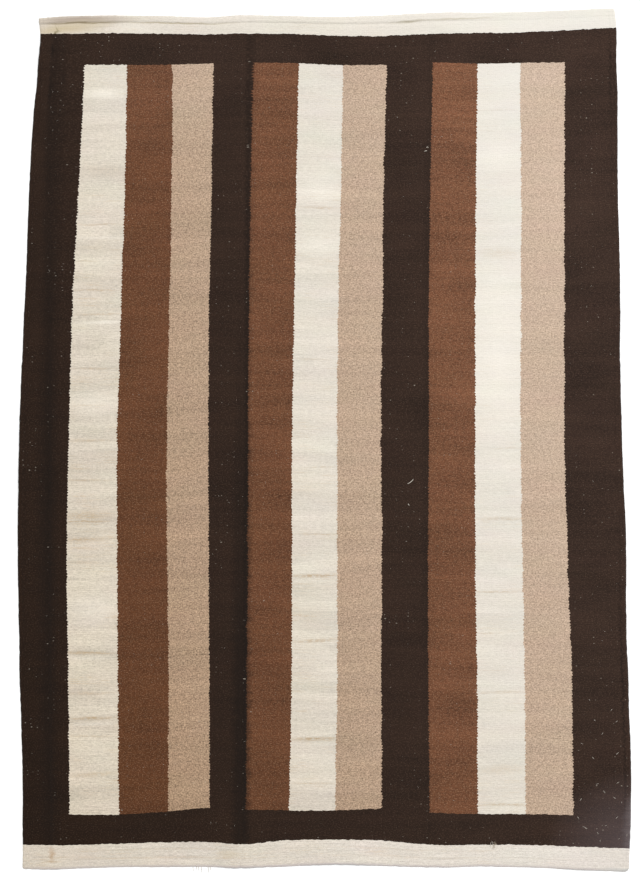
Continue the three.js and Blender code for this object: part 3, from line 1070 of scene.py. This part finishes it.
# across, along: short ends that show singly at the left head corner and up the middle
FLECKS = [
    (-598, 2080), (-567, 2072), (-555, 2066), (-562, 2050), (-559, 2038), (-411, 2070),
    (-412, 2060), (-411, 2041), (-657, 1971), (-629, 1968), (-607, 1963), (-679, 1950),
    (-666, 1950), (-684, 1911), (-652, 1916), (-679, 1899), (-667, 1878), (-679, 1853),
    (-265, 1690), (-270, 1420), (-258, 1266), (-264, 940), (-250, 560), (212, 1590),
]
HAIR, FINE_HAIR = 0.38, 0.22
FLECK_LENGTH = 3.2
hairs = [(lying(*row), HAIR) for row in HAIRS]
rng = random.Random(7)
hairs += [(lying(at, up, FLECK_LENGTH, rng.uniform(-90, 90), 0), FINE_HAIR) for at, up in FLECKS]

# The scattered ones keep off the cream stripes, and off the corner where the others were placed.
SCATTERED = 80
REACH_ACROSS, REACH_ALONG = (-735, 735), (80, 2085)
CORNER = (550, 450)
CLEAR = 15
LENGTHS, LEAN, BENDS = (2.5, 5), (10, 45), (-0.6, 0.6)
cream_stripes = [("cream 1", "brown 1"), ("cream 2", "beige 2"), ("cream 3", "beige 3")]
while len(hairs) < len(HAIRS) + len(FLECKS) + SCATTERED:
    at, up = rng.uniform(*REACH_ACROSS), rng.uniform(*REACH_ALONG)
    length, heading, bend = rng.uniform(*LENGTHS), rng.gauss(*LEAN), rng.uniform(*BENDS)
    in_stripes = weft["stripes start"] < up < weft["stripes end"]
    if in_stripes and any(warp[a] - CLEAR < at < warp[b] + CLEAR for a, b in cream_stripes):
        continue
    if at > CORNER[0] and up < CORNER[1]:
        continue
    hairs.append((lying(at, up, length, heading, bend), FINE_HAIR))
kemp_hairs = strands("kemp_hairs", hairs, kemp)

# %% [markdown]
# A few thicker bits of cream yarn lie about: one between the second and third groups, a curl beside the
# third brown stripe, a tuft at the foot band's join, and some warp ends that hang out of the foot edge.

# %% Yarn ends
yarn = loose_fibre(
    "cream handspun yarn ends", 4, 2.0, ("#a39b8e", "#e4ddd0"), {"Roughness": 0.9, "Sheen Weight": 0.1}
)
YARN, WISP = 0.8, 0.35
# across, along, length, heading in degrees, bend, clear height, steps
ends = [
    (lying(214.5, 976, 19, 38, -1.6, 0.9, 7), YARN),
    (lying(210, 918, 6, -55, 0.4, 0.8), YARN),
    (lying(253, 1801, 7, 15, 1.2, 0.9, 6), YARN),
    (lying(256.5, 1811, 4, 85, 0.4, 0.8), YARN),
    (lying(416, 68, 15, 80, 1.5, 0.9, 6), WISP),
    (lying(419, 72, 11, 105, -1.5, 0.9, 6), WISP),
]
# (across, how far it sticks out) of the ends at the foot edge
THREAD = 0.6
for across, out in ((-329, 12), (-320, 9), (-315, 11), (-308, 15), (-291, 15), (-286, 8)):
    edge = float(course_at["foot"](across))
    hanging = [(0, 3, 1.6), (0.4, 0, 1.0), (0.8, -0.5 * out, 0.6), (1.6, -out, 0.5)]
    ends.append(([(across + aside, edge + ahead, up) for aside, ahead, up in hanging], THREAD))
yarn_ends = strands("yarn_ends", ends, yarn)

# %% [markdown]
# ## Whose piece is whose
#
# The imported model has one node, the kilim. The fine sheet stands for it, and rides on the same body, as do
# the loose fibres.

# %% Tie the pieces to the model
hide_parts("kilim")
for piece in (cloth, kemp_hairs, yarn_ends):
    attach(piece, "root")

# %% [markdown]
# ## The floor
#
# A wide sheet of matt white paper. It has to come out nearly white, as in the photograph, and still keep
# the faint shadow that the edges throw, so it is just under pure white and the light does the rest. It lies
# a hair below the rug's underside, because two faces in one plane would show as a flickering mix of both.

# %% Floor
FLOOR_SIDE = 60.0
BELOW = 0.2
floor_mesh = bpy.data.meshes.new("studio_floor")
half = FLOOR_SIDE / 2
corners = [(-half, -half, 0), (half, -half, 0), (half, half, 0), (-half, half, 0)]
floor_mesh.from_pydata(corners, [], [(0, 1, 2, 3)])
floor = put("studio_floor", floor_mesh)
floor.location.z = -BELOW * MM
paper, paper_tree = blank("matt white background paper")
matt = add(paper_tree, "BsdfPrincipled", {}, {
    "Base Color": linear("#f7f7f7"), "Roughness": 1.0, "Specular IOR Level": 0.1
})
add(paper_tree, "OutputMaterial", {}, {"Surface": matt})
floor_mesh.materials.append(paper)
print("floor:", FLOOR_SIDE, "m wide,", BELOW, "mm down")

# %% [markdown]
# ## The light
#
# Three lights, all white. The even surround stands for a studio's walls and fills every shadow. A broad
# lamp high beyond the head end, so far off that it is the same all over the rug, models the folds and the
# weave. And a big soft box over the right side leaves the left a shade darker than the right.

# %% Lights
TOWARDS_LIGHT = Vector((0.3, 0.95, 1.75))
WALL_STRENGTH, SUN_POWER, BOX_POWER = 0.58, 1.9, 52.0
world = bpy.data.worlds.new("studio walls")
world.use_nodes = True
walls = world.node_tree.nodes["Background"]
walls.inputs["Color"].default_value = linear("#ffffff")
walls.inputs["Strength"].default_value = WALL_STRENGTH
bpy.context.scene.world = world


def lamp(name, kind, stand, energy, settings):
    """A lamp that shines on the rug's middle from its place."""
    data = bpy.data.lights.new(name, kind)
    data.energy = energy
    for setting, value in settings.items():
        setattr(data, setting, value)
    made = put(name, data)
    made.location = stand
    made.rotation_euler = (-Vector(stand)).to_track_quat("-Z", "Y").to_euler()
    print(name + ":", energy)


lamp("broad lamp", "SUN", TOWARDS_LIGHT * 4, SUN_POWER, {"angle": np.radians(25)})
lamp("soft box", "AREA", (2.3, 1.5, 3.7), BOX_POWER, {"shape": "SQUARE", "size": 2.4})
bpy.context.scene.view_settings.view_transform = "Standard"

# %% [markdown]
# ## The camera
#
# The photograph looks straight down on the rug through a long lens. A pixel of it is 2.5 mm of the rug, so
# its height of 884 pixels is 2.21 m, and its middle lies a few millimetres off the rug's own.

# %% Camera
PHOTO_HEIGHT = 884
PIXEL = 2.5
CAMERA_HEIGHT = 6.0
# Where the photograph's middle falls, in millimetres from the rug's.
AIMED_AT = (-11.1, -4.4)
camera_data = bpy.data.cameras.new("camera")
camera = put("camera", camera_data)
camera.location = (AIMED_AT[0] * MM, AIMED_AT[1] * MM, CAMERA_HEIGHT)
camera_data.lens = camera_data.sensor_width * CAMERA_HEIGHT / (PHOTO_HEIGHT * PIXEL * MM)
bpy.context.scene.camera = camera
print("lens:", round(camera_data.lens, 1), "mm")

# %% [markdown]
# ## Finish
#
# Last, the scene is updated.

bpy.context.view_layer.update()
